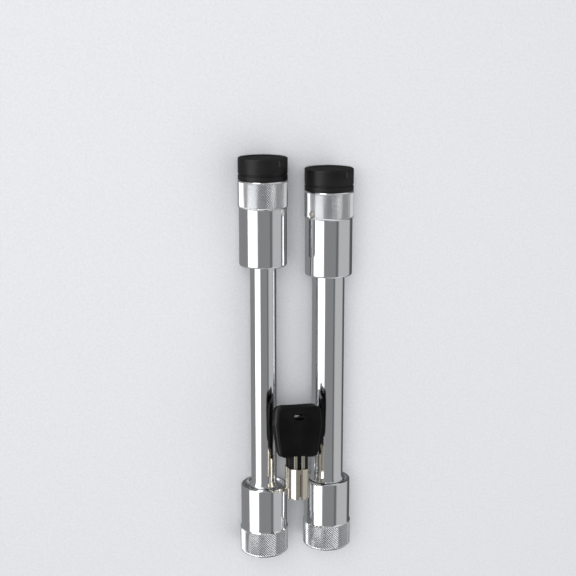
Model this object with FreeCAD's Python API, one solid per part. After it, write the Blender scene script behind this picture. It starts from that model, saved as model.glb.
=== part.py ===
import FreeCAD, Part
import math
import os

# A pair of barbell-type trailer locks, laid side by side on their backs, with their two tubular keys on top.
# Each lock is a round pin with a fixed end head and a removable lock body. The body holds a tubular cylinder
# whose plug turns a two-lobed cam; the cam pushes two balls into a groove in the pin's nose.
#
# Row frame: +X across the pair, +Y along the pins towards the caps, +Z up.
# Origin: on the floor, midway between the two locks and midway along the longer one.
# Every lock is first built about a local +Z axis (local X = row X, local -Y = row up), then laid down.

# ---- driving dimensions of both locks, in mm
AXIS_SPACING = 32.6
HEAD_R = 11.5
KNURL_R = 12.0
HEAD_LENGTH = 35.5
HEAD_KNURL_LENGTH = 13.3
BODY_SMOOTH_LENGTH = 28.4
BODY_KNURL_LENGTH = 13.1
BODY_SHOULDER = BODY_SMOOTH_LENGTH + BODY_KNURL_LENGTH
BAND_STEP = 0.25
RIM_CORNER = 0.9
CAP_HEIGHT = 10.7
CAP_R = 11.9

# ---- the two locks: pin radius, visible span, offset of the lower end, azimuth of the retaining pin
LOCKS = {
    "hitch": {"side": 1, "pin_r": 7.9375, "span": 105.8, "low_end": 0.6, "retainer_deg": 212},
    "ball": {"side": -1, "pin_r": 6.35, "span": 112.4, "low_end": 0.0, "retainer_deg": 60},
}
LONGEST = HEAD_LENGTH + LOCKS["ball"]["span"] + BODY_SHOULDER + CAP_HEIGHT

# ---- shank ends
TENON_SHARE = 0.62
TENON_LENGTH = 29.5
COLLAR_PROUD = 1.1
FLARE_HEIGHT = 2.0
HEAD_RECESS_R = 9.9
HEAD_RECESS_DEPTH = 1.5
PILOT_STEP = 0.2

# ---- lock core, measured along the axis from the lock body's lower face
RUN = 0.05
SOCKET_DEPTH = 7.0
WEB_TOP = 8.6
BORE_R = 9.2
NOSE_R = 4.5
NOSE_END = 19.6
GROOVE_Z = 14.8
GROOVE_MINOR_R = 1.75
GROOVE_CENTRE_R = 5.1
CAGE_BORE_R = 4.58
CAGE_R = 6.7
CAGE_FLANGE = 1.8
CAGE_TOP = 20.0
BALL_R = 1.6
BALL_REST_R = 6.2
BALL_TRAVEL = 1.05
CAM_R = 9.1
CAM_BOTTOM = WEB_TOP + CAGE_FLANGE + 0.2
CAM_POCKET_TOP = 20.6
CAM_TOP = 24.0
CAM_WIDE_R = 7.95
SLEEVE_BOTTOM = 24.3
SHEAR_LINE = 35.3
SHEAR_GAP = 0.05
PLUG_TOP = 41.0
SHELL_TOP = 46.6
NECK_TOP = 47.5
NECK_R = 10.5
SHELL_BORE_R = 7.7
KEYWAY_R = 5.35
POST_R = 3.75
SPINDLE_R = 2.4
TANG = 3.2
CHAMBER_R = 0.8
CHAMBER_RING_R = 4.55
CHAMBER_BOTTOM = 26.0
TUMBLER_COUNT = 8
TUMBLER_PIN_R = 0.74
DRIVER_LENGTH = 3.2
BITTING = [1.6, 0.8, 2.2, 1.2, 2.0, 0.6, 1.4, 1.0]
SPRING_WIRE_R = 0.14
SPRING_TURNS = 7
RETAINER_R = 1.1
RETAINER_Z = 30.6
RETAINER_INNER_R = 6.7
RETAINER_DIMPLE_R = 1.65

# ---- cap, seals
CAP_GROOVE_DEPTH = 0.45
CAP_RIM = 1.6
CAP_TAB_WIDTH = 4.6
CAP_TAB_HEIGHT = 3.2
SEAL_GROOVE_Z = 44.7
SEAL_GROOVE_WIDTH = 1.0
SEAL_GROOVE_DEPTH = 0.6
CAP_SEAL_MINOR_R = 0.35
CAP_BORE_R = 10.65
CAP_BORE_TOP = 48.2
CAP_TAB_DEG = -52
SHANK_SEAL_Z = 2.8
SHANK_SEAL_MINOR_R = 0.75
SHANK_GROOVE_DEPTH = 1.55

# ---- keys
KEY_TUBE_R = 5.2
KEY_BORE_R = 3.95
KEY_TUBE_LENGTH = 15.0
KEY_NECK_LENGTH = 5.5
KEY_NECK_WIDTH = 9.2
KEY_NECK_THICKNESS = 5.9
KEY_NECK_CORNER = 2.0
KEY_WALL = 1.0
KEY_WALL_HOLE_R = 2.0
BOW_LENGTH = 25.4
BOW_TOP_HALF = 11.4
BOW_LOW_HALF = 9.2
BOW_THICKNESS = 6.6
TANG_WIDTH = 1.6
TANG_THICKNESS = 0.8
TANG_DEPTH = 6.0
TANG_OFFSET = 1.9
BOW_SHOULDER = 9.0
BOW_TOP_TAPER = 0.9
BOW_CORNER = 2.8
BOW_EDGE = 1.2
RING_SLOT_R = 1.5
RING_SLOT_HALF = 1.2
RING_SLOT_DROP = 5.4
SEAM_WIDTH = 0.6
BIT_R = 0.85
# tip position in the row, lean about +Z and nose-up tilt, for the lower and the upper key
KEYS = {
    "lower_key": {"tip": (-2.4, -67.3, 21.9), "lean_deg": 0.0, "tilt_deg": 0.0},
    "upper_key": {"tip": (-3.7, -64.4, 34.1), "lean_deg": -1.5, "tilt_deg": 6.5},
}

Z_AXIS = FreeCAD.Vector(0, 0, 1)
ORIGIN = FreeCAD.Vector(0, 0, 0)


def tube(outer_r, inner_r, bottom, top):
    """Plain ring about the local axis, from bottom to top."""
    outer = Part.makeCylinder(outer_r, top - bottom, FreeCAD.Vector(0, 0, bottom))
    if inner_r <= 0:
        return outer
    return outer.cut(Part.makeCylinder(inner_r, top - bottom, FreeCAD.Vector(0, 0, bottom)))


def turned(points):
    """Solid of revolution about the local axis from a closed (radius, height) outline."""
    corners = [FreeCAD.Vector(r, 0, z) for r, z in points]
    face = Part.Face(Part.makePolygon(corners + corners[:1]))
    return face.revolve(ORIGIN, Z_AXIS, 360)


def rod(radius, inner_r, outer_r, azimuth_deg, height):
    """Radial cylinder at a height, from one radius to another."""
    angle = math.radians(azimuth_deg)
    direction = FreeCAD.Vector(math.cos(angle), math.sin(angle), 0)
    return Part.makeCylinder(radius, outer_r - inner_r, direction * inner_r + Z_AXIS * height, direction)


def around(shape, count):
    """Copies of a shape, evenly spaced about the local axis."""
    copies = []
    for index in range(count):
        copy = shape.copy()
        copy.rotate(ORIGIN, Z_AXIS, 360.0 * index / count)
        copies.append(copy)
    return copies


def place_lock(shape, lock):
    """Lays a shape built about the lock body's local axis down in the row."""
    laid = shape.copy()
    laid.rotate(ORIGIN, FreeCAD.Vector(1, 0, 0), -90)
    body_face = lock["low_end"] + HEAD_LENGTH + lock["span"] - LONGEST / 2
    laid.translate(FreeCAD.Vector(lock["side"] * AXIS_SPACING / 2, body_face, KNURL_R))
    return laid


# ---- the pin and its fixed head; heights are below the lock body's lower face, so they are negative
def make_shank(lock):
    """Turned pin: tenon in the end head, flared collar, plain span, pilot, shoulder, nose with groove."""
    r = lock["pin_r"]
    head_top = -lock["span"]
    tenon_end = head_top - TENON_LENGTH
    tenon_r = TENON_SHARE * r
    recess = head_top - HEAD_RECESS_DEPTH
    shank = turned([
        (0, tenon_end), (tenon_r - 0.6, tenon_end), (tenon_r, tenon_end + 0.6),
        (tenon_r, recess), (r + COLLAR_PROUD, recess), (r + COLLAR_PROUD, head_top + 0.1),
        (r + 0.45, head_top + 0.75), (r, head_top + FLARE_HEIGHT),
        (r, -0.2), (r - PILOT_STEP, -0.1), (r - PILOT_STEP, SOCKET_DEPTH - 0.85),
        (r - 0.8, SOCKET_DEPTH - RUN), (NOSE_R, SOCKET_DEPTH - RUN),
        (NOSE_R, NOSE_END - 0.8), (NOSE_R - 0.8, NOSE_END), (0, NOSE_END),
    ])
    groove = Part.makeTorus(GROOVE_CENTRE_R, GROOVE_MINOR_R, FreeCAD.Vector(0, 0, GROOVE_Z), Z_AXIS)
    return shank.cut(groove)


def make_end_head(lock):
    """Fixed head pressed on the tenon: knurled band at the end, smooth part, recess round the collar."""
    r = lock["pin_r"]
    top = -lock["span"]
    bottom = top - HEAD_LENGTH
    band = bottom + HEAD_KNURL_LENGTH
    tenon_r = TENON_SHARE * r
    bore_end = top - TENON_LENGTH - 0.1
    recess = top - HEAD_RECESS_DEPTH
    return turned([
        (0, bottom), (KNURL_R - 1.0, bottom), (KNURL_R, bottom + 1.0), (KNURL_R, band - BAND_STEP),
        (HEAD_R, band + BAND_STEP), (HEAD_R, top - RIM_CORNER), (HEAD_R - 0.3, top - 0.3),
        (HEAD_R - RIM_CORNER, top), (HEAD_RECESS_R, top), (HEAD_RECESS_R, recess),
        (tenon_r, recess), (tenon_r, bore_end), (0, bore_end),
    ])


# ---- the lock body and what is fixed in it
def make_lock_body(lock):
    """Turned body: mouth for the pin, web, main bore, knurled band, and a neck for the cap."""
    mouth_r = lock["pin_r"] - PILOT_STEP + RUN
    groove_r = NECK_R - SEAL_GROOVE_DEPTH
    groove_bottom = SEAL_GROOVE_Z - SEAL_GROOVE_WIDTH / 2
    groove_top = SEAL_GROOVE_Z + SEAL_GROOVE_WIDTH / 2
    outline = [
        (mouth_r + 0.5, 0), (HEAD_R - RIM_CORNER, 0), (HEAD_R - 0.3, 0.3), (HEAD_R, RIM_CORNER),
        (HEAD_R, BODY_SMOOTH_LENGTH - BAND_STEP), (KNURL_R, BODY_SMOOTH_LENGTH + BAND_STEP),
        (KNURL_R, BODY_SHOULDER - 0.5), (KNURL_R - 0.5, BODY_SHOULDER), (NECK_R, BODY_SHOULDER),
        (NECK_R, groove_bottom), (groove_r, groove_bottom), (groove_r, groove_top),
        (NECK_R, groove_top), (NECK_R, NECK_TOP - 0.3), (NECK_R - 0.3, NECK_TOP), (BORE_R, NECK_TOP),
        (BORE_R, WEB_TOP), (NOSE_R + 0.1, WEB_TOP), (NOSE_R + 0.1, SOCKET_DEPTH), (mouth_r, SOCKET_DEPTH),
        (mouth_r, 0.5),
    ]
    seal_groove = tube(mouth_r + SHANK_GROOVE_DEPTH, 0, SHANK_SEAL_Z - 0.95, SHANK_SEAL_Z + 0.95)
    retainer_hole = rod(RETAINER_R, BORE_R - 1, KNURL_R + 1, lock["retainer_deg"], RETAINER_Z)
    dimple = rod(RETAINER_DIMPLE_R, KNURL_R - 0.45, KNURL_R + 1, lock["retainer_deg"], RETAINER_Z)
    return turned(outline).cut(seal_groove).cut(retainer_hole).cut(dimple)


def make_retaining_pin(lock):
    """Round pin through the body, the shell and the pin sleeve; its domed end shows in the knurl."""
    pin = rod(RETAINER_R, RETAINER_INNER_R, KNURL_R - 0.15, lock["retainer_deg"], RETAINER_Z)
    tip = rod(RETAINER_R, KNURL_R - 0.15, KNURL_R, lock["retainer_deg"], RETAINER_Z)
    angle = math.radians(lock["retainer_deg"])
    ball_centre_r = KNURL_R - 6.0
    centre = FreeCAD.Vector(math.cos(angle) * ball_centre_r, math.sin(angle) * ball_centre_r, RETAINER_Z)
    return pin.fuse(tip.common(Part.makeSphere(6.0, centre))).removeSplitter()


def make_shank_seal(lock):
    """O-ring in the mouth, running just clear of the pin."""
    major = lock["pin_r"] - PILOT_STEP + RUN + SHANK_SEAL_MINOR_R + 0.02
    return Part.makeTorus(major, SHANK_SEAL_MINOR_R, FreeCAD.Vector(0, 0, SHANK_SEAL_Z), Z_AXIS)


def make_ball_cage(lock):
    """Flanged sleeve round the nose with one cross hole for the two balls."""
    cage = turned([
        (CAGE_BORE_R, WEB_TOP), (BORE_R, WEB_TOP), (BORE_R, WEB_TOP + CAGE_FLANGE),
        (CAGE_R, WEB_TOP + CAGE_FLANGE), (CAGE_R, CAGE_TOP), (CAGE_BORE_R, CAGE_TOP),
    ])
    return cage.cut(rod(BALL_R + RUN, -10, 10, 0, GROOVE_Z))


def make_ball(azimuth_deg):
    """Locking ball, drawn back clear of the nose."""
    angle = math.radians(azimuth_deg)
    centre = FreeCAD.Vector(BALL_REST_R * math.cos(angle), BALL_REST_R * math.sin(angle), GROOVE_Z)
    return Part.makeSphere(BALL_R, centre)


def cam_radius(angle_deg):
    """Pocket radius of one cam lobe: wide at 0, closing by the ball's travel at -90, then opening again."""
    fraction = angle_deg / -90.0
    if fraction < 0:
        fraction = 0.0
    if fraction > 1.25:
        back = (fraction - 1.25) / 0.5
        return CAM_WIDE_R - BALL_TRAVEL + BALL_TRAVEL * 0.5 * (1 - math.cos(math.pi * min(back, 1.0)))
    return CAM_WIDE_R - BALL_TRAVEL * min(fraction, 1.0)


def make_lock_cam(lock):
    """Cup-shaped cam with two spiral lobes inside and a square socket for the plug's tang."""
    cup = tube(CAM_R, 0, CAM_BOTTOM, CAM_TOP)
    steps = 36
    lobe = [cam_radius(22.5 - 180.0 * k / steps) for k in range(steps)]
    points = []
    for k in range(2 * steps):
        angle = math.radians(22.5 - 180.0 * k / steps)
        radius = lobe[k % steps]
        points.append(FreeCAD.Vector(radius * math.cos(angle), radius * math.sin(angle), CAM_BOTTOM))
    curve = Part.BSplineCurve()
    curve.interpolate(points, PeriodicFlag=True)
    pocket = Part.Face(Part.Wire(curve.toShape())).extrude(Z_AXIS * (CAM_POCKET_TOP - CAM_BOTTOM))
    half = TANG / 2 + RUN
    corner = FreeCAD.Vector(-half, -half, CAM_POCKET_TOP)
    socket = Part.makeBox(2 * half, 2 * half, CAM_TOP - CAM_POCKET_TOP, corner)
    return cup.cut(pocket).cut(socket)


def make_cylinder_shell(lock):
    """Outer sleeve of the cylinder: wide bore for the sleeve and plug, narrow mouth for the key."""
    shell = turned([
        (SHELL_BORE_R, SLEEVE_BOTTOM), (BORE_R, SLEEVE_BOTTOM), (BORE_R, SHELL_TOP), (KEYWAY_R, SHELL_TOP),
        (KEYWAY_R, PLUG_TOP + 0.1), (SHELL_BORE_R, PLUG_TOP + 0.1),
    ])
    lug_ring = tube(KEYWAY_R + 0.9, 0, PLUG_TOP + 0.1, PLUG_TOP + 2.4)
    slot_corner = FreeCAD.Vector(-1, -KEYWAY_R - 0.9, PLUG_TOP)
    lug_slot = Part.makeBox(2.0, KEYWAY_R + 0.9, SHELL_TOP - PLUG_TOP, slot_corner)
    retainer_hole = rod(RETAINER_R, SHELL_BORE_R - 0.5, BORE_R + 1, lock["retainer_deg"], RETAINER_Z)
    return shell.cut(lug_ring).cut(lug_slot).cut(retainer_hole)


def make_pin_sleeve(lock):
    """Fixed bush with eight blind chambers round the spindle's hole."""
    sleeve = tube(SHELL_BORE_R, SPINDLE_R + RUN, SLEEVE_BOTTOM, SHEAR_LINE)
    chamber = Part.makeCylinder(
        CHAMBER_R, SHEAR_LINE - CHAMBER_BOTTOM, FreeCAD.Vector(CHAMBER_RING_R, 0, CHAMBER_BOTTOM))
    retainer_hole = rod(RETAINER_R, RETAINER_INNER_R, SHELL_BORE_R + 1, lock["retainer_deg"], RETAINER_Z)
    return sleeve.cut(Part.makeCompound(around(chamber, TUMBLER_COUNT))).cut(retainer_hole)


def make_plug(lock):
    """Turning core: eight-hole disc, centre post with the key notch, spindle with its square tang."""
    bottom = SHEAR_LINE + SHEAR_GAP
    disc = tube(SHELL_BORE_R - RUN, 0, bottom, PLUG_TOP)
    chamber = Part.makeCylinder(CHAMBER_R, PLUG_TOP - bottom, FreeCAD.Vector(CHAMBER_RING_R, 0, bottom))
    disc = disc.cut(Part.makeCompound(around(chamber, TUMBLER_COUNT)))
    post = turned([(0, PLUG_TOP), (POST_R, PLUG_TOP), (POST_R, SHELL_TOP - 0.6), (POST_R - 0.5, SHELL_TOP),
                   (0, SHELL_TOP)])
    notch = Part.makeBox(1.6, 1.5, 4.0, FreeCAD.Vector(-0.8, -POST_R, SHELL_TOP - 4.0))
    spindle = tube(SPINDLE_R, 0, CAM_TOP + 0.15, bottom)
    tang_corner = FreeCAD.Vector(-TANG / 2, -TANG / 2, CAM_POCKET_TOP + 0.2)
    tang = Part.makeBox(TANG, TANG, CAM_TOP + 0.15 - CAM_POCKET_TOP - 0.2, tang_corner)
    return disc.fuse([post.cut(notch), spindle, tang]).removeSplitter()


def make_key_pins(lock):
    """Eight key pins standing on the shear line, each cut to its own length, with a domed outer end."""
    pins = []
    for index, cut in enumerate(BITTING):
        bottom = SHEAR_LINE + SHEAR_GAP
        length = PLUG_TOP - bottom + 0.4 + cut
        pin = turned([(0, bottom), (TUMBLER_PIN_R, bottom), (TUMBLER_PIN_R, bottom + length - 0.25),
                      (TUMBLER_PIN_R - 0.25, bottom + length), (0, bottom + length)])
        pin.translate(FreeCAD.Vector(CHAMBER_RING_R, 0, 0))
        pin.rotate(ORIGIN, Z_AXIS, 360.0 * index / TUMBLER_COUNT)
        pins.append(pin)
    return Part.makeCompound(pins)


def make_driver_pins(lock):
    """Eight equal driver pins just under the shear line."""
    pin = Part.makeCylinder(
        TUMBLER_PIN_R, DRIVER_LENGTH, FreeCAD.Vector(CHAMBER_RING_R, 0, SHEAR_LINE - DRIVER_LENGTH))
    return Part.makeCompound(around(pin, TUMBLER_COUNT))


def make_tumbler_springs(lock):
    """Eight coil springs between the chamber floors and the driver pins."""
    bottom = CHAMBER_BOTTOM + SPRING_WIRE_R + 0.02
    height = SHEAR_LINE - DRIVER_LENGTH - SPRING_WIRE_R - 0.02 - bottom
    coil_r = TUMBLER_PIN_R - SPRING_WIRE_R
    helix = Part.makeHelix(height / SPRING_TURNS, height, coil_r)
    section = Part.Wire(Part.makeCircle(SPRING_WIRE_R, FreeCAD.Vector(coil_r, 0, 0), FreeCAD.Vector(0, 1, 0)))
    spring = Part.Wire(helix.Edges).makePipeShell([section], True, True)
    spring.translate(FreeCAD.Vector(CHAMBER_RING_R, 0, bottom))
    return Part.makeCompound(around(spring, TUMBLER_COUNT))


def make_face_ring(lock):
    """Pressed ring that closes the key end round the keyway."""
    return turned([
        (KEYWAY_R + 1.1, SHELL_TOP), (BORE_R, SHELL_TOP), (BORE_R, NECK_TOP),
        (KEYWAY_R + 1.6, NECK_TOP), (KEYWAY_R + 1.1, NECK_TOP - 0.5),
    ])


def make_cap_seal(lock):
    """O-ring on the neck that grips the cap."""
    major = NECK_R - SEAL_GROOVE_DEPTH + CAP_SEAL_MINOR_R + 0.01
    return Part.makeTorus(major, CAP_SEAL_MINOR_R, FreeCAD.Vector(0, 0, SEAL_GROOVE_Z), Z_AXIS)


def make_weather_cap(lock):
    """Moulded cup over the key end: grooved skirt, rounded rim, and a small pull tab on its side."""
    bottom = BODY_SHOULDER + 0.1
    top = BODY_SHOULDER + CAP_HEIGHT
    rim = CAP_RIM
    groove_r = CAP_R - CAP_GROOVE_DEPTH
    outline = [
        (CAP_BORE_R, bottom), (CAP_R - 0.3, bottom), (CAP_R, bottom + 0.3), (CAP_R, bottom + 2.2),
        (groove_r, bottom + 2.5), (groove_r, bottom + 2.9), (CAP_R, bottom + 3.2), (CAP_R, top - rim),
    ]
    for step in range(1, 5):
        angle = math.radians(22.5 * step)
        outline.append((CAP_R - rim + rim * math.cos(angle), top - rim + rim * math.sin(angle)))
    outline += [(0, top), (0, CAP_BORE_TOP), (CAP_BORE_R, CAP_BORE_TOP)]
    tab_corner = FreeCAD.Vector(CAP_R - 1.1, -CAP_TAB_WIDTH / 2, top - 1.0 - CAP_TAB_HEIGHT)
    tab = Part.makeBox(2.0, CAP_TAB_WIDTH, CAP_TAB_HEIGHT, tab_corner)
    tab = tab.makeFillet(0.7, [edge for edge in tab.Edges if abs(edge.tangentAt(0).z) > 0.9])
    tab.rotate(ORIGIN, Z_AXIS, CAP_TAB_DEG)
    return turned(outline).fuse(tab).removeSplitter()


# ---- keys, built with the tip at the origin and the tube along +Y, the bow's broad face up
def make_key_tube():
    """Rolled tube with a seam, bitting cuts at the tip, a guide lug, an end wall, and tangs into the bow."""
    shell = tube(KEY_TUBE_R, KEY_BORE_R, 0, KEY_TUBE_LENGTH)
    wall_bottom = KEY_TUBE_LENGTH - KEY_WALL
    shell = shell.fuse(tube(KEY_TUBE_R, KEY_WALL_HOLE_R, wall_bottom, KEY_TUBE_LENGTH))
    lug = Part.makeBox(1.5, 1.0, 1.8, FreeCAD.Vector(-0.75, KEY_TUBE_R - 0.3, 1.0))
    shell = shell.fuse(lug)
    tang_length = KEY_WALL + KEY_NECK_LENGTH + TANG_DEPTH
    tang_top = KEY_NECK_THICKNESS / 2 + RUN
    for side in (-1, 1):
        for inner_face in (-tang_top, tang_top - TANG_THICKNESS):
            corner = FreeCAD.Vector(side * TANG_OFFSET - TANG_WIDTH / 2, inner_face, wall_bottom)
            shell = shell.fuse(Part.makeBox(TANG_WIDTH, TANG_THICKNESS, tang_length, corner))
    cuts = []
    for index, depth in enumerate(BITTING):
        cut = Part.makeCylinder(BIT_R, depth + 1, FreeCAD.Vector(CHAMBER_RING_R + 0.3, 0, -1))
        cut.rotate(ORIGIN, Z_AXIS, 360.0 * index / TUMBLER_COUNT)
        cuts.append(cut)
    seam_corner = FreeCAD.Vector(-SEAM_WIDTH / 2, -KEY_TUBE_R - 0.2, -0.1)
    seam = Part.makeBox(SEAM_WIDTH, 2.0, KEY_TUBE_LENGTH - 2.5, seam_corner)
    shell = shell.cut(Part.makeCompound(cuts)).cut(seam).removeSplitter()
    shell.rotate(ORIGIN, FreeCAD.Vector(1, 0, 0), -90)
    return shell


def make_key_head(key_tube):
    """Moulded bow: shield outline with eased edges, a ring slot, and a flat neck that holds the tangs."""
    low = KEY_TUBE_LENGTH + KEY_NECK_LENGTH
    high = low + BOW_LENGTH
    top_half = BOW_TOP_HALF - BOW_TOP_TAPER
    corners = [(-BOW_LOW_HALF, low), (BOW_LOW_HALF, low), (BOW_TOP_HALF, high - BOW_SHOULDER),
               (top_half, high), (-top_half, high), (-BOW_TOP_HALF, high - BOW_SHOULDER)]
    points = [FreeCAD.Vector(x, y, -BOW_THICKNESS / 2) for x, y in corners]
    bow = Part.Face(Part.makePolygon(points + points[:1])).extrude(Z_AXIS * BOW_THICKNESS)
    uprights = [edge for edge in bow.Edges if abs(edge.tangentAt(0).z) > 0.9]
    bow = bow.makeFillet(BOW_CORNER, uprights)
    flats = [edge for edge in bow.Edges if abs(edge.tangentAt(edge.FirstParameter).z) < 0.1]
    bow = bow.makeFillet(BOW_EDGE, flats)
    slot_y = high - RING_SLOT_DROP
    slot_corner = FreeCAD.Vector(-RING_SLOT_HALF, slot_y - RING_SLOT_R, -BOW_THICKNESS)
    slot = Part.makeBox(2 * RING_SLOT_HALF, 2 * RING_SLOT_R, 2 * BOW_THICKNESS, slot_corner)
    for side in (-1, 1):
        end = FreeCAD.Vector(side * RING_SLOT_HALF, slot_y, -BOW_THICKNESS)
        slot = slot.fuse(Part.makeCylinder(RING_SLOT_R, 2 * BOW_THICKNESS, end))
    neck_corner = FreeCAD.Vector(-KEY_NECK_WIDTH / 2, KEY_TUBE_LENGTH, -KEY_NECK_THICKNESS / 2)
    neck = Part.makeBox(KEY_NECK_WIDTH, KEY_NECK_LENGTH + 3.0, KEY_NECK_THICKNESS, neck_corner)
    long_edges = [edge for edge in neck.Edges if abs(edge.tangentAt(0).y) > 0.9]
    neck = neck.makeFillet(KEY_NECK_CORNER, long_edges)
    return bow.fuse(neck).cut(slot).cut(key_tube).removeSplitter()


def place_key(shape, key):
    """Tilts, leans and moves a key from its own frame to its place in the row."""
    placed = shape.copy()
    placed.rotate(ORIGIN, FreeCAD.Vector(1, 0, 0), -key["tilt_deg"])
    placed.rotate(ORIGIN, Z_AXIS, key["lean_deg"])
    placed.translate(FreeCAD.Vector(*key["tip"]))
    return placed


LOCK_PIECES = {
    "shank": make_shank,
    "end_head": make_end_head,
    "lock_body": make_lock_body,
    "retaining_pin": make_retaining_pin,
    "shank_seal": make_shank_seal,
    "ball_cage": make_ball_cage,
    "lock_cam": make_lock_cam,
    "cylinder_shell": make_cylinder_shell,
    "pin_sleeve": make_pin_sleeve,
    "plug": make_plug,
    "key_pins": make_key_pins,
    "driver_pins": make_driver_pins,
    "tumbler_springs": make_tumbler_springs,
    "face_ring": make_face_ring,
    "cap_seal": make_cap_seal,
    "weather_cap": make_weather_cap,
}


def make_parts():
    """Every node of the row: the pieces of each lock, then the keys."""
    parts = {}
    for lock_name, lock in LOCKS.items():
        for piece_name, maker in LOCK_PIECES.items():
            parts[f"{lock_name}_{piece_name}"] = place_lock(maker(lock), lock)
        parts[f"{lock_name}_locking_ball_a"] = place_lock(make_ball(0), lock)
        parts[f"{lock_name}_locking_ball_b"] = place_lock(make_ball(180), lock)
    key_tube = make_key_tube()
    key_head = make_key_head(key_tube)
    for key_name, key in KEYS.items():
        parts[f"{key_name}_tube"] = place_key(key_tube, key)
        parts[f"{key_name}_head"] = place_key(key_head, key)
    return parts


os.makedirs("parts", exist_ok=True)
for node, shape in make_parts().items():
    shape.exportStep(f"parts/{node}.step")
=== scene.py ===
import math

import bpy
import numpy as np
from mathutils import Matrix, Vector


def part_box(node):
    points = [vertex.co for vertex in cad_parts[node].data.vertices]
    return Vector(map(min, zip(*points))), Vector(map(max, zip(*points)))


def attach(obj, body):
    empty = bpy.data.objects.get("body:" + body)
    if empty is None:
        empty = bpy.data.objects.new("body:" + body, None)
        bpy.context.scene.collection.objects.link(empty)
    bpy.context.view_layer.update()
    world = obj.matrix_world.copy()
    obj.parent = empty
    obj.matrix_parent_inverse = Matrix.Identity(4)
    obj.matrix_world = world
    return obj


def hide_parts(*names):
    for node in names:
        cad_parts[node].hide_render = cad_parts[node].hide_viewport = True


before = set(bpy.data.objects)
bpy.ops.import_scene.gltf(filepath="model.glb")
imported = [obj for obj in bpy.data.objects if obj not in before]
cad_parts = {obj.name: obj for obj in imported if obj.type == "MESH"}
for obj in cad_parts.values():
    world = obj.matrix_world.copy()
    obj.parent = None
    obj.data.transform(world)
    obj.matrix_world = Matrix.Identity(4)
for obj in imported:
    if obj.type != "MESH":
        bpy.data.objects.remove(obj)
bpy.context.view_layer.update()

# ---- The table and the studio ----
# A pale matt table top that the lock set lies on, with a plain pale room round it and two large soft lamps. The
# bright plating sees a dim room with one long soft box and one grey card, which run the way the pins do.


def add_node(tree, kind, settings=None, **inputs):
    """New shader node; an input given as another node's socket is linked, anything else is set as its value."""
    node = tree.nodes.new(kind)
    for key, value in (settings or {}).items():
        setattr(node, key, value)
    for key, value in inputs.items():
        socket = node.inputs[int(key[1:])] if key[1:].isdigit() else node.inputs[key.replace("_", " ")]
        if isinstance(value, bpy.types.NodeSocket):
            tree.links.new(value, socket)
        else:
            socket.default_value = value
    return node


def add_ramp(tree, factor, stops):
    """Colour ramp over a factor; each stop is (place, grey or colour)."""
    ramp = add_node(tree, "ShaderNodeValToRGB", Fac=factor)
    for number, (place, shade) in enumerate(stops):
        colour = (shade, shade, shade) if isinstance(shade, (int, float)) else shade
        if number < 2:
            stop = ramp.color_ramp.elements[number]
            stop.position = place
        else:
            stop = ramp.color_ramp.elements.new(place)
        stop.color = (*colour, 1.0)
    return ramp


def new_material(name):
    """Empty node material with its output and Principled shader, ready to be wired."""
    material = bpy.data.materials.new(name)
    material.use_nodes = True
    tree = material.node_tree
    tree.nodes.clear()
    shader = tree.nodes.new("ShaderNodeBsdfPrincipled")
    output = tree.nodes.new("ShaderNodeOutputMaterial")
    tree.links.new(shader.outputs["BSDF"], output.inputs["Surface"])
    return material, tree, shader


HALF_TABLE = 3.0
TABLE_DROP = 0.0002
table_mesh = bpy.data.meshes.new("table_top")
table_corners = [(-HALF_TABLE, -HALF_TABLE), (HALF_TABLE, -HALF_TABLE), (HALF_TABLE, HALF_TABLE),
                 (-HALF_TABLE, HALF_TABLE)]
table_mesh.from_pydata([(x, y, -TABLE_DROP) for x, y in table_corners], [], [(0, 1, 2, 3)])
table_top = bpy.data.objects.new("table_top", table_mesh)
bpy.context.scene.collection.objects.link(table_top)
table_finish, tree, shader = new_material("table_finish")
place = add_node(tree, "ShaderNodeTexCoord").outputs["Object"]
fleck = add_node(tree, "ShaderNodeTexNoise", Vector=place, Scale=900.0, Detail=3.0)
shade = add_ramp(tree, fleck.outputs["Fac"], [(0.3, (0.61, 0.62, 0.64)), (0.7, (0.66, 0.67, 0.69))])
tree.links.new(shade.outputs["Color"], shader.inputs["Base Color"])
shader.inputs["Roughness"].default_value = 0.85
table_mesh.materials.append(table_finish)
table_top.visible_glossy = False

# A plain dim room with a long soft box on the -X side, a grey card on the +X side and a dark gap between the card
# and the ceiling. Each place is in degrees round the pins from straight up, towards +X. The soft box stops short
# of the set's near end, so the room there is the same without it. Two end walls lighten the views from the ends.
SOFT_BOX = 2.5
CEILING = 0.25
GREY_CARD = 0.5
GAP = 0.1
FAR_BANDS = [
    (-180, CEILING), (-90, CEILING), (-85, SOFT_BOX), (-45, SOFT_BOX), (-35, CEILING), (20, CEILING), (30, GAP),
    (40, GREY_CARD), (105, GREY_CARD), (115, GAP), (180, GAP),
]
NEAR_BANDS = [band for band in FAR_BANDS if band[1] != SOFT_BOX]
SOFT_BOX_END = (-0.3775, -0.3740)
END_WALLS = [(0.0, 1.8), (0.12, 1.8), (0.24, 1.0), (0.80, 1.0), (0.88, 1.7), (1.0, 1.2)]
PALE_ROOM = (0.80, 0.81, 0.83, 1.0)
PALE_STRENGTH = 0.62
room = bpy.data.worlds.new("room")
bpy.context.scene.world = room
room.use_nodes = True
tree = room.node_tree
tree.nodes.clear()
way = add_node(tree, "ShaderNodeSeparateXYZ",
               Vector=add_node(tree, "ShaderNodeTexCoord").outputs["Generated"])
turn = add_node(tree, "ShaderNodeMath", {"operation": "ARCTAN2"}, _0=way.outputs["X"], _1=way.outputs["Z"])
spread = add_node(tree, "ShaderNodeMapRange", Value=turn.outputs[0], From_Min=-math.pi, From_Max=math.pi)
far_room, near_room = (
    add_ramp(tree, spread.outputs[0], [(degrees / 360 + 0.5, level) for degrees, level in bands])
    for bands in (FAR_BANDS, NEAR_BANDS))
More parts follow.
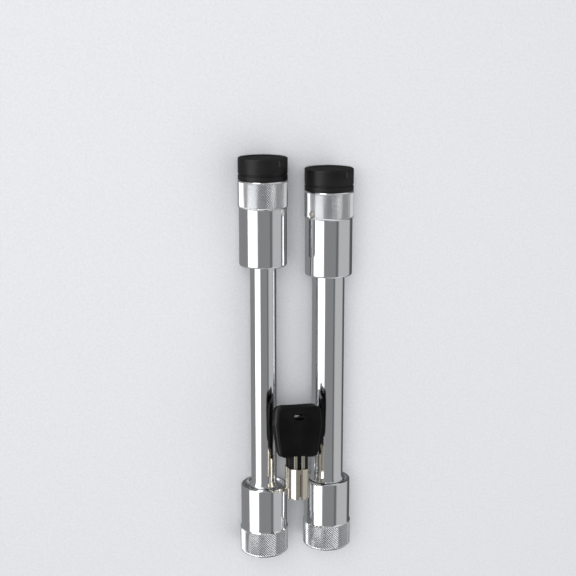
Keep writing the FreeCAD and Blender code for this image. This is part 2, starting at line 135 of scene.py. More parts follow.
box_end = add_node(tree, "ShaderNodeMapRange", Value=way.outputs["Y"], From_Min=SOFT_BOX_END[0],
                   From_Max=SOFT_BOX_END[1])
both_rooms = add_node(tree, "ShaderNodeMix", {"data_type": "RGBA"}, _0=box_end.outputs[0],
                      _6=near_room.outputs["Color"], _7=far_room.outputs["Color"])
lengthwise = add_node(tree, "ShaderNodeMapRange", Value=way.outputs["Y"], From_Min=-1.0)
end_walls = add_ramp(tree, lengthwise.outputs[0], END_WALLS)
walled = add_node(tree, "ShaderNodeMix", {"data_type": "RGBA", "blend_type": "MULTIPLY"}, _0=1.0,
                  _6=both_rooms.outputs[2], _7=end_walls.outputs["Color"])
band_light = add_node(tree, "ShaderNodeBackground", Color=walled.outputs[2], Strength=1.0)
plain_light = add_node(tree, "ShaderNodeBackground", Color=PALE_ROOM, Strength=PALE_STRENGTH)
rays = add_node(tree, "ShaderNodeLightPath")
room_light = add_node(tree, "ShaderNodeMixShader", _0=rays.outputs["Is Glossy Ray"], _1=plain_light.outputs[0],
                      _2=band_light.outputs[0])
add_node(tree, "ShaderNodeOutputWorld", Surface=room_light.outputs[0])


def soft_light(name, size, power, place, target):
    """Large square lamp, seen by matt surfaces only; the plating sees the room's bands instead."""
    lamp = bpy.data.lights.new(name, "AREA")
    lamp.shape = "SQUARE"
    lamp.size = size
    lamp.energy = power
    holder = bpy.data.objects.new(name, lamp)
    holder.location = place
    holder.rotation_euler = (Vector(target) - Vector(place)).to_track_quat("-Z", "Y").to_euler()
    holder.visible_glossy = False
    bpy.context.scene.collection.objects.link(holder)


soft_light("key_light", 0.8, 8.0, (-0.35, 0.30, 0.95), (0, 0, 0))
soft_light("fill_light", 0.9, 3.0, (0.60, -0.2, 0.8), (0, 0, 0))

# The viewer stands a little to the left and towards the caps, and looks down on the set.
VIEW_YAW = math.radians(12.27)
VIEW_PITCH = math.radians(12.84)
VIEW_OFFSET = Vector((-0.1103, 0.2673, 0.5638))
LENS = 75.79
ball_low, ball_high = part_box("ball_end_head")
lens_centre = Vector(((ball_low.x + ball_high.x) / 2, ball_low.y, (ball_low.z + ball_high.z) / 2)) + VIEW_OFFSET
gaze = Vector((math.sin(VIEW_YAW) * math.cos(VIEW_PITCH), -math.sin(VIEW_PITCH),
               -math.cos(VIEW_YAW) * math.cos(VIEW_PITCH)))
right = gaze.cross(Vector((0, 1, 0))).normalized()
up = right.cross(gaze)
camera = bpy.data.objects.new("camera", bpy.data.cameras.new("camera"))
camera.matrix_world = Matrix.Translation(lens_centre) @ Matrix((right, up, -gaze)).transposed().to_4x4()
camera.data.lens = LENS
camera.data.sensor_width = 36.0
camera.data.clip_start = 0.01
bpy.context.scene.collection.objects.link(camera)
bpy.context.scene.camera = camera
bpy.context.scene.view_settings.view_transform = "Standard"

# ---- Shanks ----
# The two round pins, 5/8 in and 1/2 in: turned steel, bright plated. Each has a tenon in its end head, a flared
# collar, the plain span, a shoulder, and a nose with the round groove that the locking balls drop into.
COLLAR_PROUD = 0.0011
COLLAR_LENGTH = 0.0015
TENON_SHARE = 0.62
PILOT_STEP = 0.0002
SHOULDER_RUN = 0.00694
NOSE_R = 0.0045
GROOVE_R = 0.00175
GROOVE_CENTRE_R = 0.0051
GROOVE_RUN = 0.0148
FULLY_SUNK = 0.0004
SHANK_COLUMNS = 192


def shell(points, loop_u=True, loop_v=False, sunk=None):
    """Vertices, faces and sunken share of a grid of points[u, v]. A looped direction joins its last row to its
    first, and a v end whose points all coincide becomes one pole. Faces are turned outwards by the sign of the
    enclosed volume."""
    rows, columns = points.shape[:2]
    index = np.arange(rows * columns).reshape(rows, columns)
    if not loop_v:
        for end in (0, -1):
            if np.ptp(points[:, end], axis=0).max() < 1e-9:
                index[:, end] = index[0, end]
    ahead = np.roll(index, -1, axis=0)
    here, ahead = (index, ahead) if loop_u else (index[:-1], index[1:])
    if loop_v:
        here = np.concatenate([here, here[:, :1]], axis=1)
        ahead = np.concatenate([ahead, ahead[:, :1]], axis=1)
    quads = np.stack([here[:, :-1], ahead[:, :-1], ahead[:, 1:], here[:, 1:]], axis=-1).reshape(-1, 4)
    used, packed = np.unique(quads, return_inverse=True)
    quads = packed.reshape(-1, 4)
    vertices = points.reshape(-1, 3)[used]
    share = np.zeros(len(used)) if sunk is None else sunk.reshape(-1)[used]
    first, second, third, fourth = (vertices[quads[:, k]] for k in range(4))
    volume = np.einsum("ij,ij->i", first, np.cross(second, third)).sum()
    volume += np.einsum("ij,ij->i", first, np.cross(third, fourth)).sum()
    low_pole = quads[:, 0] == quads[:, 1]
    high_pole = quads[:, 2] == quads[:, 3]
    faces = [quads[~(low_pole | high_pole)], quads[low_pole][:, 1:], quads[high_pole][:, :3]]
    if volume < 0:
        faces = [face[:, ::-1] for face in faces]
    return vertices, [row for face in faces for row in face.tolist()], share


def piece_of(name, *shells):
    """One smooth-shaded object made of closed shells, with the sunken share of each vertex as an attribute."""
    vertices, faces, shares, start = [], [], [], 0
    for points, rows, share in shells:
        vertices.append(points)
        shares.append(share)
        faces += [[start + number for number in row] for row in rows]
        start += len(points)
    mesh = bpy.data.meshes.new(name)
    mesh.from_pydata(np.concatenate(vertices).tolist(), [], faces)
    attribute = mesh.attributes.new("sunk", "FLOAT", "POINT")
    attribute.data.foreach_set("value", np.concatenate(shares).astype(np.float32))
    mesh.shade_smooth()
    mesh.set_sharp_from_angle(angle=math.radians(32))
    piece = bpy.data.objects.new(name, mesh)
    bpy.context.scene.collection.objects.link(piece)
    return piece


def rounded(corners, steps=6, loop=False):
    """Outline through (x, y, radius) corners, each replaced by an arc that is tangent to both its sides."""
    outline = []
    count = len(corners)
    for number, (x, y, radius) in enumerate(corners):
        here = np.array([x, y])
        if radius <= 0 or (not loop and number in (0, count - 1)):
            outline.append(here)
            continue
        back = np.array(corners[number - 1][:2]) - here
        on = np.array(corners[(number + 1) % count][:2]) - here
        back_length, on_length = np.linalg.norm(back), np.linalg.norm(on)
        back, on = back / back_length, on / on_length
        half_angle = math.acos(np.clip(back @ on, -1, 1)) / 2
        reach = min(radius / math.tan(half_angle), 0.48 * back_length, 0.48 * on_length)
        radius = reach * math.tan(half_angle)
        middle = (back + on) / np.linalg.norm(back + on)
        centre = here + middle * radius / math.sin(half_angle)
        start, end = here + back * reach - centre, here + on * reach - centre
        sweep = math.acos(np.clip(start @ end / radius**2, -1, 1))
        share = np.linspace(0, 1, steps + 1)[:, None]
        arc = (np.sin((1 - share) * sweep) * start + np.sin(share * sweep) * end) / math.sin(sweep)
        outline.extend(centre + arc)
    return np.array(outline)


def turned(name, axis, outline, columns, relief=None, loop=False):
    """Surface turned about a lock's axis: each (radius, y) of the outline goes once round, at angle a from
    straight up towards +X, so a point is (radius sin a, y, radius cos a). relief(a, y, radius) adds to radius."""
    angle = np.linspace(0, 2 * math.pi, columns, endpoint=False)[:, None]
    radius = np.broadcast_to(outline[:, 0], (columns, len(outline))).copy()
    along = np.broadcast_to(outline[:, 1], radius.shape).copy()
    change = relief(angle, along, radius) if relief else np.zeros_like(radius)
    radius += change
    points = np.stack([axis[0] + radius * np.sin(angle), along, axis[1] + radius * np.cos(angle)], axis=-1)
    return piece_of(name, shell(points, loop_v=loop, sunk=np.clip(-change / FULLY_SUNK, 0, 1)))


def plated_steel(name, polish, dull, bright):
    """Bright plate over turned steel: faint turning lines round the axis, a slow change of gloss where hands have
    been, fine specks in the plate, and dark grime with painted shade in whatever is sunk."""
    material, tree, shader = new_material(name)
    place = add_node(tree, "ShaderNodeTexCoord").outputs["Object"]
    lines_place = add_node(tree, "ShaderNodeMapping", Vector=place, Scale=(40.0, 2600.0, 40.0))
    lines = add_node(tree, "ShaderNodeTexNoise", Vector=lines_place.outputs[0], Scale=1.0, Detail=4.0)
    cloud = add_node(tree, "ShaderNodeTexNoise", Vector=place, Scale=55.0, Detail=5.0, Roughness=0.6)
    speck = add_node(tree, "ShaderNodeTexNoise", Vector=place, Scale=1500.0, Detail=2.0)
    gloss = add_ramp(tree, cloud.outputs["Fac"], [(0.35, polish), (0.72, polish + 0.07)])
    shine = tuple(1.04 * part for part in bright)
    tint = add_ramp(tree, speck.outputs["Fac"], [(0.18, dull), (0.27, bright), (0.8, shine)])
    # Painted shade: the sunk share (knurl grooves, the key's seam, the retaining pin's recess) darkens the base
    # colour to 0.55 at the deepest point. This is partly grime and partly painted shade in the hollows.
    sunk = add_node(tree, "ShaderNodeAttribute", {"attribute_name": "sunk"})
    grime_and_shade = add_ramp(tree, sunk.outputs["Fac"], [(0.15, 1.0), (0.6, 0.9), (1.0, 0.55)])
    grime_and_shade_mix = add_node(tree, "ShaderNodeMix", {"data_type": "RGBA", "blend_type": "MULTIPLY"}, _0=1.0,
                     _6=tint.outputs["Color"], _7=grime_and_shade.outputs["Color"])
    tree.links.new(grime_and_shade_mix.outputs[2], shader.inputs["Base Color"])
    tree.links.new(gloss.outputs["Color"], shader.inputs["Roughness"])
    bump = add_node(tree, "ShaderNodeBump", Strength=0.22, Distance=0.00003, Height=lines.outputs["Fac"])
    tree.links.new(bump.outputs["Normal"], shader.inputs["Normal"])
    shader.inputs["Metallic"].default_value = 1.0
    return material


LOCK_NAMES = ("hitch", "ball")
plate = plated_steel("bright_plate", 0.07, (0.55, 0.56, 0.58), (0.83, 0.84, 0.86))
lock_axes = {}
pin_radius = {}
for lock in LOCK_NAMES:
    low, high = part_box(lock + "_shank")
    lock_axes[lock] = ((low.x + high.x) / 2, (low.z + high.z) / 2)
    pin_radius[lock] = (high.x - low.x) / 2 - COLLAR_PROUD
    radius = pin_radius[lock]
    head_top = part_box(lock + "_end_head")[1].y
    body_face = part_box(lock + "_lock_body")[0].y
    collar = rounded([
        (0, low.y, 0), (TENON_SHARE * radius, low.y, 0.0005), (TENON_SHARE * radius, head_top - COLLAR_LENGTH, 0),
        (radius + COLLAR_PROUD, head_top - COLLAR_LENGTH, 0), (radius + COLLAR_PROUD, head_top + 0.0001, 0.0003),
        (radius + 0.0007, head_top + 0.0003, 0.0002), (radius, head_top + 0.0019, 0.0016),
        (radius, body_face - 0.0002, 0), (radius - PILOT_STEP, body_face - 0.0001, 0),
        (radius - PILOT_STEP, body_face + 0.0061, 0.0002), (radius - 0.0008, body_face + SHOULDER_RUN, 0.0002),
        (NOSE_R, body_face + SHOULDER_RUN, 0.0001),
    ])
    groove_turn = np.radians(np.linspace(200, 160, 13))
    groove_y = body_face + GROOVE_RUN
    groove = np.stack([GROOVE_CENTRE_R + GROOVE_R * np.cos(groove_turn),
                       groove_y + GROOVE_R * np.sin(groove_turn)], axis=1)
    nose = rounded([(NOSE_R, groove_y + 0.0018, 0), (NOSE_R, high.y, 0.0008), (0, high.y, 0)])
    shank = turned(lock + "_round_pin", lock_axes[lock], np.concatenate([collar, groove, nose]), SHANK_COLUMNS)
    shank.data.materials.append(plate)
    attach(shank, lock + "_pin")
    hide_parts(lock + "_shank")

# ---- End heads ----
# Fixed cylinders pressed on the pins' tenons: turned, rolled with a diamond knurl at the far end, and plated with
# the pin. The near face has a rounded rim and a shallow recess that the pin's collar stands in.
KNURL_STARTS = 62
KNURL_DEPTH = 0.00045
KNURL_STEPS = 8
HEAD_COLUMNS = KNURL_STARTS * KNURL_STEPS
HEAD_R = 0.0115
KNURL_R = 0.0120
HEAD_BAND_LENGTH = 0.0133
HEAD_RECESS_R = 0.0099
TENON_END = 0.0059
TENON_ROOM = 0.00002


def knurl(start, end, band_r):
    """Relief of a rolled diamond knurl between two stations: two sets of V grooves wind opposite ways, one step
    along for one step round, and what is left between them is the lower of two saw-toothed ridges, cut flat on
    top. The relief fades in over the first and last part of a step."""
    pitch = 2 * math.pi * band_r / KNURL_STARTS

    def relief(angle, along, radius):
        around = angle * KNURL_STARTS / (2 * math.pi)
        step = (along - start) / pitch
        ridge_one = np.abs(2 * np.mod(around + step, 1.0) - 1)
        ridge_two = np.abs(2 * np.mod(around - step, 1.0) - 1)
        height = np.minimum(1.0, 1.25 * np.minimum(ridge_one, ridge_two))
        inside = np.clip(np.minimum(along - start, end - along) / (0.3 * pitch), 0, 1)
        outer = radius > band_r - 0.00002
        return -KNURL_DEPTH * (1 - height) * inside * outer

    return relief


def knurled_stretch(start, end, band_r):
    """Stations along a knurled band, close enough together to carry its diamonds."""
    pitch = 2 * math.pi * band_r / KNURL_STARTS
    count = int(round((end - start) / pitch * KNURL_STEPS)) + 1
    stations = np.linspace(start, end, count)
    return np.stack([np.full(count, band_r), stations], axis=1)


for lock in LOCK_NAMES:
    low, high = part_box(lock + "_end_head")
    band_end = low.y + HEAD_BAND_LENGTH
    band = (low.y + 0.0010, band_end - 0.0003)
    far_end = rounded([(0, low.y, 0), (KNURL_R - 0.0010, low.y, 0.0002), (KNURL_R, band[0] - 0.00002, 0)])
    bore_r = TENON_SHARE * pin_radius[lock] + TENON_ROOM
    near_end = rounded([
        (KNURL_R, band_end - 0.00028, 0), (HEAD_R, band_end + 0.00025, 0.0002), (HEAD_R, high.y, 0.0009),
        (HEAD_RECESS_R + 0.0001, high.y, 0.0003), (HEAD_RECESS_R, high.y - COLLAR_LENGTH, 0.0002),
        (bore_r, high.y - COLLAR_LENGTH, 0), (bore_r, low.y + TENON_END, 0), (0, low.y + TENON_END, 0),
    ], steps=8)
    outline = np.concatenate([far_end, knurled_stretch(*band, KNURL_R), near_end])
    head = turned(lock + "_fixed_head", lock_axes[lock], outline, HEAD_COLUMNS, knurl(*band, KNURL_R))
    head.data.materials.append(plate)
    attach(head, lock + "_pin")
    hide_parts(lock + "_end_head")

# ---- Lock bodies ----
# The removable heads: turned and bored, knurled above a smooth part, with a plain neck for the cap. The mouth
# takes the pin, and a small round recess in the knurl takes the end of the retaining pin.
BODY_BAND_RUN = 0.0284
BODY_SHOULDER_RUN = 0.0415
MOUTH_DEPTH = 0.0070
BORE_END = 0.0086
NECK_R = 0.0105
NECK_BORE_R = 0.0092
NOSE_HOLE_R = 0.0046
SEAL_GROOVE_R = 0.0099
SEAL_GROOVE = (0.0442, 0.0452)
RECESS_R = 0.00165
RECESS_DEPTH = 0.00045
for lock in LOCK_NAMES:
    low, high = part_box(lock + "_lock_body")
    pin_low, pin_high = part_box(lock + "_retaining_pin")
    axis = lock_axes[lock]
    mouth_r = pin_radius[lock] - 0.00015
    band_start, shoulder = low.y + BODY_BAND_RUN, low.y + BODY_SHOULDER_RUN
    band = (band_start + 0.0003, shoulder - 0.0005)
    recess_y = (pin_low.y + pin_high.y) / 2
    recess_turn = math.atan2((pin_low.x + pin_high.x) / 2 - axis[0], (pin_low.z + pin_high.z) / 2 - axis[1])
    diamonds = knurl(*band, KNURL_R)

    def body_relief(angle, along, radius):
        """The knurl, with a flat-floored round recess sunk in it where the retaining pin ends."""
        swing = np.mod(angle - recess_turn + math.pi, 2 * math.pi) - math.pi
        reach = np.hypot(swing * KNURL_R, along - recess_y)
        sunk = np.clip((RECESS_R + 0.0001 - reach) / 0.0002, 0, 1) * (radius > HEAD_R - 0.00002)
        floor = KNURL_R - RECESS_DEPTH - radius
        return diamonds(angle, along, radius) * (1 - sunk) + floor * sunk

    mouth = rounded([
        (mouth_r, low.y + MOUTH_DEPTH, 0), (mouth_r, low.y + 0.0005, 0), (mouth_r + 0.0005, low.y, 0.0001),
        (HEAD_R, low.y, 0.0009), (HEAD_R, band_start - 0.00025, 0.0002), (KNURL_R, band[0] - 0.00002, 0),
    ], steps=8)
    neck = rounded([
        (KNURL_R, band[1] + 0.00002, 0), (KNURL_R - 0.0004, shoulder, 0.0001), (NECK_R, shoulder, 0),
        (NECK_R, low.y + SEAL_GROOVE[0], 0), (SEAL_GROOVE_R, low.y + SEAL_GROOVE[0], 0),
        (SEAL_GROOVE_R, low.y + SEAL_GROOVE[1], 0), (NECK_R, low.y + SEAL_GROOVE[1], 0), (NECK_R, high.y, 0.0003),
        (NECK_BORE_R, high.y, 0), (NECK_BORE_R, low.y + BORE_END, 0), (NOSE_HOLE_R, low.y + BORE_END, 0),
        (NOSE_HOLE_R, low.y + MOUTH_DEPTH, 0),
    ])
    outline = np.concatenate([mouth, knurled_stretch(*band, KNURL_R), neck])
    body = turned(lock + "_removable_head", axis, outline, HEAD_COLUMNS, body_relief, loop=True)
    body.data.materials.append(plate)
    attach(body, lock + "_lock")
    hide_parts(lock + "_lock_body")

# ---- Weather caps ----
# Black moulded caps pushed over the bodies' necks against water and grit: a skirt with one groove, an eased rim,
# a slightly dished top, and a small pull tab on the side.
CAP_R = 0.0119
CAP_BORE_R = 0.01065
CAP_DEPTH = 0.0066
CAP_GROOVE_R = CAP_R - 0.00045
CAP_COLUMNS = 288
WALL_ROWS = 24
TAB_DROP = 0.0026
TAB_HEIGHT = 0.0009
TAB_TURN = math.radians(38)


def moulded_plastic(name, shade, grain, sheen):
    """Black moulded plastic: fine spark-eroded grain, a slow change of gloss, and pale dust in the grain."""
    material, tree, shader = new_material(name)
    place = add_node(tree, "ShaderNodeTexCoord").outputs["Object"]
    pits = add_node(tree, "ShaderNodeTexNoise", Vector=place, Scale=grain, Detail=3.0, Roughness=0.6)
    cloud = add_node(tree, "ShaderNodeTexNoise", Vector=place, Scale=120.0, Detail=5.0)
    dust = add_ramp(tree, cloud.outputs["Fac"], [(0.40, shade), (0.75, tuple(1.9 * part for part in shade))])
    gloss = add_ramp(tree, cloud.outputs["Fac"], [(0.3, 0.36), (0.7, 0.50)])
    tree.links.new(dust.outputs["Color"], shader.inputs["Base Color"])
    tree.links.new(gloss.outputs["Color"], shader.inputs["Roughness"])
    bump = add_node(tree, "ShaderNodeBump", Strength=0.35, Distance=0.00006, Height=pits.outputs["Fac"])
    tree.links.new(bump.outputs["Normal"], shader.inputs["Normal"])
    shader.inputs["Specular IOR Level"].default_value = sheen
    return material


cap_plastic = moulded_plastic("cap_plastic", (0.0045, 0.0045, 0.005), 3800.0, 0.30)
for lock in LOCK_NAMES:
    low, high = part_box(lock + "_weather_cap")
    tab_y = high.y - TAB_DROP

    def pull_tab(angle, along, radius):
        """A soft-edged block raised on the skirt: full height inside 2.3 mm each way round and 1.6 mm along."""
        swing = np.abs(np.mod(angle - TAB_TURN + math.pi, 2 * math.pi) - math.pi) * CAP_R
        rise = np.clip((0.0023 - swing) / 0.0004, 0, 1) * np.clip((0.0016 - np.abs(along - tab_y)) / 0.0004, 0, 1)
        return TAB_HEIGHT * (3 * rise**2 - 2 * rise**3) * (radius > CAP_R - 0.0018)

    skirt = rounded([
        (CAP_BORE_R, low.y + CAP_DEPTH, 0), (CAP_BORE_R, low.y, 0.0001), (CAP_R, low.y, 0.0003),
        (CAP_R, low.y + 0.0022, 0.00015), (CAP_GROOVE_R, low.y + 0.0024, 0.0001),
        (CAP_GROOVE_R, low.y + 0.0029, 0.0001), (CAP_R, low.y + 0.0031, 0.00015), (CAP_R, high.y - 0.0045, 0),
    ])
    wall = np.stack([np.full(WALL_ROWS, CAP_R), np.linspace(high.y - 0.0044, high.y - 0.0014, WALL_ROWS)], axis=1)
    top = rounded([
        (CAP_R, high.y - 0.0013, 0), (CAP_R, high.y, 0.0013), (0.0095, high.y, 0.0006),
        (0.0088, high.y - 0.0004, 0.0006), (0, high.y - 0.0004, 0),
    ], steps=10)
    roof = np.array([(0, low.y + CAP_DEPTH)])
    outline = np.concatenate([roof, skirt, wall, top])
    cap = turned(lock + "_moulded_cap", lock_axes[lock], outline, CAP_COLUMNS, pull_tab)
    cap.data.materials.append(cap_plastic)
    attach(cap, lock + "_cap")
    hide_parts(lock + "_weather_cap")

# ---- Retaining pins ----
# Short plain pins driven through the body into the cylinder, and ending in a shallow recess: pale nickel plate.
# The key pins inside have the same finish. Their turned shapes come from the frame.


def worn_metal(name, dark, light, roughness, line_scale):
    """Bare or thinly plated metal: fine tool lines round the axis, blotches between a dark and a light tone."""
    material, tree, shader = new_material(name)
    place = add_node(tree, "ShaderNodeTexCoord").outputs["Object"]
    lines_place = add_node(tree, "ShaderNodeMapping", Vector=place, Scale=line_scale)
    lines = add_node(tree, "ShaderNodeTexNoise", Vector=lines_place.outputs[0], Scale=1.0, Detail=5.0)
    blotch = add_node(tree, "ShaderNodeTexNoise", Vector=place, Scale=420.0, Detail=6.0, Roughness=0.65)
    tint = add_ramp(tree, blotch.outputs["Fac"], [(0.32, dark), (0.62, light)])
    gloss = add_ramp(tree, blotch.outputs["Fac"], [(0.3, roughness + 0.12), (0.7, roughness)])
    tree.links.new(tint.outputs["Color"], shader.inputs["Base Color"])
    tree.links.new(gloss.outputs["Color"], shader.inputs["Roughness"])
    bump = add_node(tree, "ShaderNodeBump", Strength=0.4, Distance=0.00004, Height=lines.outputs["Fac"])
    tree.links.new(bump.outputs["Normal"], shader.inputs["Normal"])
    shader.inputs["Metallic"].default_value = 1.0
    return material


def finish_nodes(material, *names):
    """Gives a frame node of each lock its finish."""
    for lock in LOCK_NAMES:
        for name in names:
            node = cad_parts[f"{lock}_{name}"]
            node.data.materials.clear()
            node.data.materials.append(material)


pin_nickel = worn_metal("pin_nickel", (0.66, 0.60, 0.48), (0.88, 0.83, 0.72), 0.30, (900.0, 900.0, 900.0))
finish_nodes(pin_nickel, "retaining_pin", "key_pins")

# ---- Seals ----
# O-rings of black nitrile rubber: one in the body's mouth that wipes the pin, one on the neck that grips the cap.
seal_rubber, tree, shader = new_material("seal_rubber")
place = add_node(tree, "ShaderNodeTexCoord").outputs["Object"]
bloom = add_node(tree, "ShaderNodeTexNoise", Vector=place, Scale=700.0, Detail=5.0)
shade = add_ramp(tree, bloom.outputs["Fac"], [(0.35, (0.012, 0.012, 0.013)), (0.75, (0.035, 0.035, 0.037))])
matt = add_ramp(tree, bloom.outputs["Fac"], [(0.3, 0.55), (0.7, 0.75)])
tree.links.new(shade.outputs["Color"], shader.inputs["Base Color"])
tree.links.new(matt.outputs["Color"], shader.inputs["Roughness"])
dimple = add_node(tree, "ShaderNodeBump", Strength=0.3, Distance=0.00005, Height=bloom.outputs["Fac"])
tree.links.new(dimple.outputs["Normal"], shader.inputs["Normal"])
finish_nodes(seal_rubber, "shank_seal", "cap_seal")

# ---- Ball cage, locking balls and cam ----
# Hardened steel inside the body: the flanged cage is pressed in, the two ground balls stand in its cross holes,
# and the cup-shaped cam turns round it. Their shapes come from the frame.
hardened_steel = worn_metal("hardened_steel", (0.30, 0.30, 0.32), (0.52, 0.52, 0.54), 0.24, (60.0, 2400.0, 60.0))
finish_nodes(hardened_steel, "ball_cage", "lock_cam", "locking_ball_a", "locking_ball_b", "driver_pins", "face_ring")

# ---- Lock cylinder ----
# Turned brass: the outer shell with the round keyway, the fixed sleeve with its eight chambers, and the plug with
# its centre post. Their shapes come from the frame.
lock_brass = worn_metal("lock_brass", (0.50, 0.35, 0.14), (0.78, 0.60, 0.30), 0.22, (80.0, 2200.0, 80.0))
finish_nodes(lock_brass, "cylinder_shell", "pin_sleeve", "plug")

# ---- Tumbler springs ----
# Eight short springs of drawn wire behind the driver pins, darker than the ground pins.
spring_wire = worn_metal("spring_wire", (0.20, 0.20, 0.22), (0.38, 0.38, 0.41), 0.30, (1500.0, 1500.0, 1500.0))
finish_nodes(spring_wire, "tumbler_springs")

# ---- Keys ----
# Two alike tubular keys. The tube is rolled steel, nickel plated, with an open seam, eight bitting cuts round its
# tip, a guide lug, an end wall, and four flat tangs. The bow is black plastic moulded round the tangs: a flat
# neck, a shield-shaped grip with eased edges and a slight crown, a fine rib down the middle, and a ring slot.
KEY_TUBE_R = 0.0052
KEY_BORE_R = 0.00395
KEY_TUBE_LENGTH = 0.0150
KEY_NECK_LENGTH = 0.0055
KEY_WALL = 0.0010
KEY_END_HOLE_R = 0.0020
KEY_COLUMNS = 416
SEAM_END = 0.0125
SEAM_HALF = 0.00030
CUT_HALF = 0.00085
TIP_STRETCH = 0.0032
BITTING = (1.6, 0.8, 2.2, 1.2, 2.0, 0.6, 1.4, 1.0)
BOW_LENGTH = 0.0254
BOW_TOP_HALF = 0.0114
BOW_LOW_HALF = 0.0092
BOW_SHOULDER = 0.0090
BOW_HALF_THICKNESS = 0.0033
BOW_EDGE = 0.0012
BOW_CROWN = 0.0002
BOW_CORNER = 0.0028
SLOT_DROP = 0.0054
SLOT_HALF_LENGTH = 0.0027
SLOT_HALF_WIDTH = 0.0015
SLOT_EDGE = 0.0004
TANG_PLACE = (0.0019, 0.0026)
TANG_HALF = (0.0008, 0.0004)
NECK_HALF = (0.0046, 0.00295)
KEY_PLACES = {
    "lower_key": ((-0.0024, -0.0673, 0.0219), 0.0, 0.0),
    "upper_key": ((-0.0037, -0.0644, 0.0341), -1.5, 6.5),
}


def laid(points, key):
    """Moves points from a key's own frame (tip at the origin, tube along +Y) to its place: tip-up tilt, lean."""
    tip, lean, tilt = KEY_PLACES[key]
    turn = Matrix.Rotation(math.radians(lean), 3, "Z") @ Matrix.Rotation(-math.radians(tilt), 3, "X")
    return points @ np.array(turn).T + np.array(tip)


def evenly(outline, count):
    """A closed outline resampled to equal steps, with its outward normals."""
    closed = np.concatenate([outline, outline[:1]])
    length = np.concatenate([[0], np.cumsum(np.linalg.norm(np.diff(closed, axis=0), axis=1))])
    steps = np.linspace(0, length[-1], count, endpoint=False)
    points = np.stack([np.interp(steps, length, closed[:, k]) for k in range(2)], axis=1)
    ahead = np.roll(points, -1, axis=0) - np.roll(points, 1, axis=0)
    normals = np.stack([ahead[:, 1], -ahead[:, 0]], axis=1) / np.linalg.norm(ahead, axis=1)[:, None]
    return points, normals


def bar(key, middle, half_width, half_height, corner, start, end):
    """Rounded-rectangle bar along the key: its (x, z) outline, eased by 0.1 mm at both ends and closed to poles."""
    outline = rounded([(-half_width, -half_height, corner), (half_width, -half_height, corner),
                       (half_width, half_height, corner), (-half_width, half_height, corner)], steps=5, loop=True)
    ease = 0.0001
    stations = ((start, 0.0), (start, 1 - ease / half_height), (start + ease, 1.0), (end - ease, 1.0),
                (end, 1 - ease / half_height), (end, 0.0))
    rings = [np.stack([middle[0] + share * outline[:, 0], np.full(len(outline), y),
                       middle[1] + share * outline[:, 1]], axis=1) for y, share in stations]
    return shell(laid(np.stack(rings, axis=1), key))


def key_tube(key):
    """Tube turned about the key's axis: radius by angle and station, the tip end moved back by the depth of the
    cut at each angle (fading out along the tube), and the seam pressed in along the top."""
    angle = np.linspace(0, 2 * math.pi, KEY_COLUMNS, endpoint=False)[:, None]
    near_tip = np.arange(0.0002, TIP_STRETCH, 0.0002)
    outer = [(KEY_TUBE_R - 0.00012, 0.0), (KEY_TUBE_R, 0.0001)]
    outer += [(KEY_TUBE_R, y) for y in (*near_tip, TIP_STRETCH, 0.008, SEAM_END - 0.0001, SEAM_END + 0.0001)]
    back = [(KEY_TUBE_R, KEY_TUBE_LENGTH - 0.00035), (KEY_TUBE_R - 0.0001, KEY_TUBE_LENGTH - 0.0001),
            (KEY_TUBE_R - 0.00035, KEY_TUBE_LENGTH), (KEY_END_HOLE_R, KEY_TUBE_LENGTH),
            (KEY_END_HOLE_R, KEY_TUBE_LENGTH - KEY_WALL), (KEY_BORE_R, KEY_TUBE_LENGTH - KEY_WALL)]
    inner = [(KEY_BORE_R, y) for y in (TIP_STRETCH, *near_tip[::-1], 0.0)]
    outline = np.array(outer + back + inner)
    cut_depth = np.zeros_like(angle)
    for number, depth in enumerate(BITTING):
        place = math.radians(45 * number)
        cut_angle = math.atan2(math.cos(place), -math.sin(place))
        reach = np.abs(np.mod(angle - cut_angle + math.pi, 2 * math.pi) - math.pi) * KEY_TUBE_R
        cut_depth = np.maximum(cut_depth, depth / 1000 * np.clip((CUT_HALF - reach) / 0.00016, 0, 1))
    radius = np.broadcast_to(outline[:, 0], (len(angle), len(outline))).copy()
    along = outline[:, 1] + cut_depth * np.clip(1 - outline[:, 1] / TIP_STRETCH, 0, 1)
    swing = np.abs(np.mod(angle + math.pi, 2 * math.pi) - math.pi) * KEY_TUBE_R
    in_seam = np.clip((SEAM_HALF - swing) / 0.00012, 0, 1) * (outline[:, 1] < SEAM_END)
    in_seam = in_seam * (radius > KEY_BORE_R + 0.0001)
    radius -= in_seam * (KEY_TUBE_R - KEY_BORE_R - 0.0002) / 2
    points = np.stack([radius * np.sin(angle), along, radius * np.cos(angle)], axis=-1)
    return shell(laid(points.reshape(-1, 3), key).reshape(points.shape), loop_v=True, sunk=in_seam)


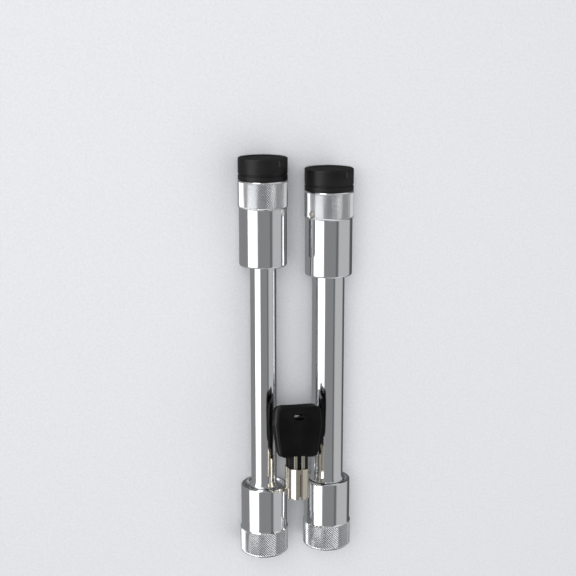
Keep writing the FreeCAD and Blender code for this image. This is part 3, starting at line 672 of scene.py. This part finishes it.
def key_grip(key):
    """Grip between its outline and the slot's outline: rings blend from one to the other over the crowned face,
    roll over the outer edge by a quarter circle, and come back the same way underneath."""
    low, high = KEY_TUBE_LENGTH + KEY_NECK_LENGTH, KEY_TUBE_LENGTH + KEY_NECK_LENGTH + BOW_LENGTH
    top_half = BOW_TOP_HALF - 0.0009
    corners = [(-BOW_LOW_HALF, low), (BOW_LOW_HALF, low), (BOW_TOP_HALF, high - BOW_SHOULDER), (top_half, high),
               (-top_half, high), (-BOW_TOP_HALF, high - BOW_SHOULDER)]
    outer, outer_normals = evenly(rounded([(x, y, BOW_CORNER) for x, y in corners], steps=12, loop=True), 360)
    slot_y = high - SLOT_DROP
    slot_corners = [(-SLOT_HALF_LENGTH, slot_y - SLOT_HALF_WIDTH), (SLOT_HALF_LENGTH, slot_y - SLOT_HALF_WIDTH),
                    (SLOT_HALF_LENGTH, slot_y + SLOT_HALF_WIDTH), (-SLOT_HALF_LENGTH, slot_y + SLOT_HALF_WIDTH)]
    slot_outline = rounded([(x, y, SLOT_HALF_WIDTH) for x, y in slot_corners], steps=12, loop=True)
    slot, slot_normals = evenly(slot_outline, 720)
    bearing = np.arctan2(outer[:, 1] - slot_y, outer[:, 0])
    slot_bearing = np.arctan2(slot[:, 1] - slot_y, slot[:, 0])
    nearest = np.abs(np.angle(np.exp(1j * (bearing[:, None] - slot_bearing[None, :])))).argmin(axis=1)
    slot, slot_normals = slot[nearest], slot_normals[nearest]
    rim = BOW_HALF_THICKNESS - BOW_CROWN
    rings = [(slot, 0.0003)]
    for step in np.radians(np.linspace(0, 90, 5)):
        rings.append((slot + slot_normals * SLOT_EDGE * (1 - math.cos(step)),
                      BOW_HALF_THICKNESS - SLOT_EDGE * (1 - math.sin(step))))
    face_in, face_out = slot + slot_normals * SLOT_EDGE, outer - outer_normals * BOW_EDGE
    for share in np.linspace(0, 1, 12)[1:]:
        rings.append((face_in + (face_out - face_in) * share, BOW_HALF_THICKNESS - BOW_CROWN * share**2))
    for step in np.radians(np.linspace(0, 90, 8))[1:]:
        rings.append((face_out + outer_normals * BOW_EDGE * math.sin(step), rim - BOW_EDGE * (1 - math.cos(step))))
    rings.append((outer, 0.0003))
    rings += [(ring, -z) for ring, z in rings[::-1]]
    points = np.stack([np.column_stack([ring, np.full(len(ring), z)]) for ring, z in rings], axis=1)
    return shell(laid(points.reshape(-1, 3), key).reshape(points.shape), loop_v=True)


key_nickel = plated_steel("key_nickel", 0.14, (0.46, 0.42, 0.34), (0.76, 0.71, 0.60))
key_plastic = moulded_plastic("key_plastic", (0.0025, 0.0025, 0.0028), 3000.0, 0.14)
bow_start = KEY_TUBE_LENGTH + KEY_NECK_LENGTH
slot_low = bow_start + BOW_LENGTH - SLOT_DROP - 0.0022
for key in KEY_PLACES:
    tangs = [bar(key, (side * TANG_PLACE[0], face * TANG_PLACE[1]), *TANG_HALF, 0.00012, KEY_TUBE_LENGTH - 0.0006,
                 bow_start + 0.0060) for side in (-1, 1) for face in (-1, 1)]
    lug = bar(key, (0.0, -KEY_TUBE_R - 0.0001), 0.00075, 0.0005, 0.0002, 0.0010, 0.0028)
    tube = piece_of(key + "_rolled_tube", key_tube(key), *tangs, lug)
    tube.data.materials.append(key_nickel)
    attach(tube, key)
    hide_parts(key + "_tube")
    neck = bar(key, (0.0, 0.0), *NECK_HALF, 0.0020, KEY_TUBE_LENGTH + 0.00002, bow_start + 0.0030)
    ribs = [bar(key, (0.0, face * (BOW_HALF_THICKNESS - 0.00012)), 0.0003, 0.0002, 0.00015, bow_start + 0.0012,
                slot_low) for face in (-1, 1)]
    bow = piece_of(key + "_moulded_bow", key_grip(key), neck, *ribs)
    bow.data.materials.append(key_plastic)
    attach(bow, key)
    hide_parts(key + "_head")
